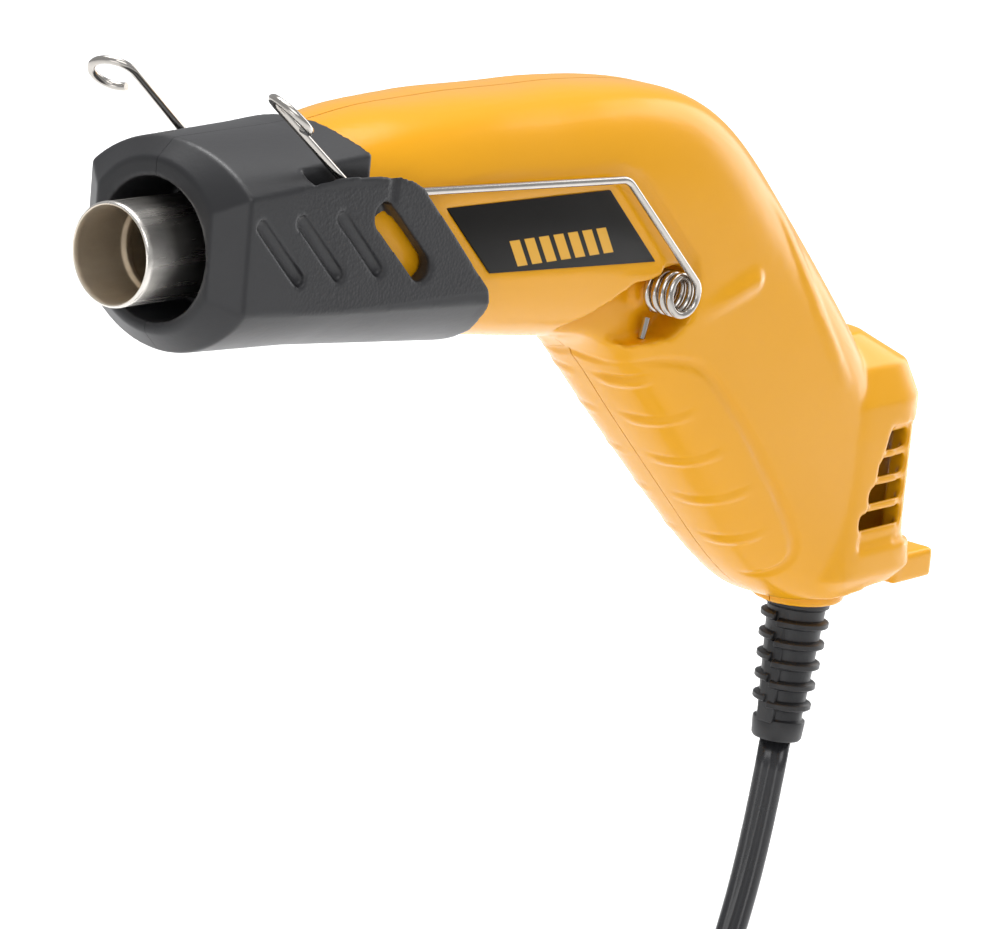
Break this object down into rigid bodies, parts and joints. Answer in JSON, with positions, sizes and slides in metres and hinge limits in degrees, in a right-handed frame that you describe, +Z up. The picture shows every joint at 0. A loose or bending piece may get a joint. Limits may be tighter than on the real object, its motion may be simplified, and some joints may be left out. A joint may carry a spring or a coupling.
{
  "type": "heat gun",
  "caption": "Small pistol-shaped heat gun with a bright round nozzle, dark nose shroud, yellow two-part body, fold-out wire stand, ribbed strain relief and flat cord.",
  "frame": {"origin": "centre of the nozzle's mouth, on the nozzle's axis", "axes": "+X forward out of the nozzle, +Z up with the barrel level, +Y to the tool's left side"},
  "size_m": [0.2525, 0.1172, 0.2861],
  "materials": {
    "yellow_shell": "moulded, glossy",
    "black_shroud": "moulded, fine texture on the side panels",
    "label_film": "satin printed film, left blank",
    "nozzle_steel": "bright plated, brushed inside",
    "stand_wire": "bright plated wire",
    "mica": "layered mica sheet",
    "heater_wire": "resistance wire",
    "cutoff_can": "small can",
    "fan_plastic": "moulded",
    "shaft_steel": "ground",
    "motor_can": "drawn can",
    "knob_plastic": "moulded, ribbed",
    "switch_plastic": "moulded",
    "board": "phenolic board",
    "lead_cover": "lead covering",
    "zinc_screw": "zinc plated",
    "relief_rubber": "moulded rubber",
    "cord_cover": "flat twin cord, satin",
    "blade_brass": "stamped"
  },
  "bodies": {
    "housing": {"housing_left": "yellow_shell", "housing_right": "yellow_shell", "housing_screws": "zinc_screw", "nose_left": "black_shroud", "nose_right": "black_shroud", "label_left": "label_film", "label_right": "label_film", "nozzle_tube": "nozzle_steel", "mica_lining": "mica", "heater_boards": "mica", "heating_coil": "heater_wire", "thermal_cutoff": "cutoff_can", "tube_collar": "mica", "fan_motor": "motor_can", "motor_ring": "fan_plastic", "switch_body": "switch_plastic", "rectifier_board": "board", "supply_leads": "lead_cover", "cord_clamp": "switch_plastic", "stand_tail_left": "stand_wire", "stand_tail_right": "stand_wire", "strain_relief": "relief_rubber", "cord": "cord_cover", "cord_coil": "cord_cover", "plug_body": "cord_cover", "plug_blades": "blade_brass"},
    "left_leg": {"stand_leg_left": "stand_wire"},
    "right_leg": {"stand_leg_right": "stand_wire"},
    "knob": {"switch_knob": "knob_plastic"},
    "fan": {"impeller": "fan_plastic", "motor_shaft": "shaft_steel"}
  },
  "joints": [
    {"name": "left_leg_swing", "type": "hinge", "parent": "housing", "child": "left_leg", "pos_m": [-0.1438, 0, -0.0182], "axis": [0, -1, 0], "range_deg": [0, 125]},
    {"name": "right_leg_swing", "type": "hinge", "parent": "housing", "child": "right_leg", "pos_m": [-0.1438, 0, -0.0182], "axis": [0, -1, 0], "range_deg": [0, 125]},
    {"name": "switch_slide", "type": "slide", "parent": "housing", "child": "knob", "axis": [0.6883, 0, 0.7255], "range_m": [0, 0.008]},
    {"name": "fan_spin", "type": "hinge", "parent": "housing", "child": "fan", "pos_m": [-0.213, 0, -0.066], "axis": [0.7071, 0, 0.7071], "continuous": true}
  ]
}
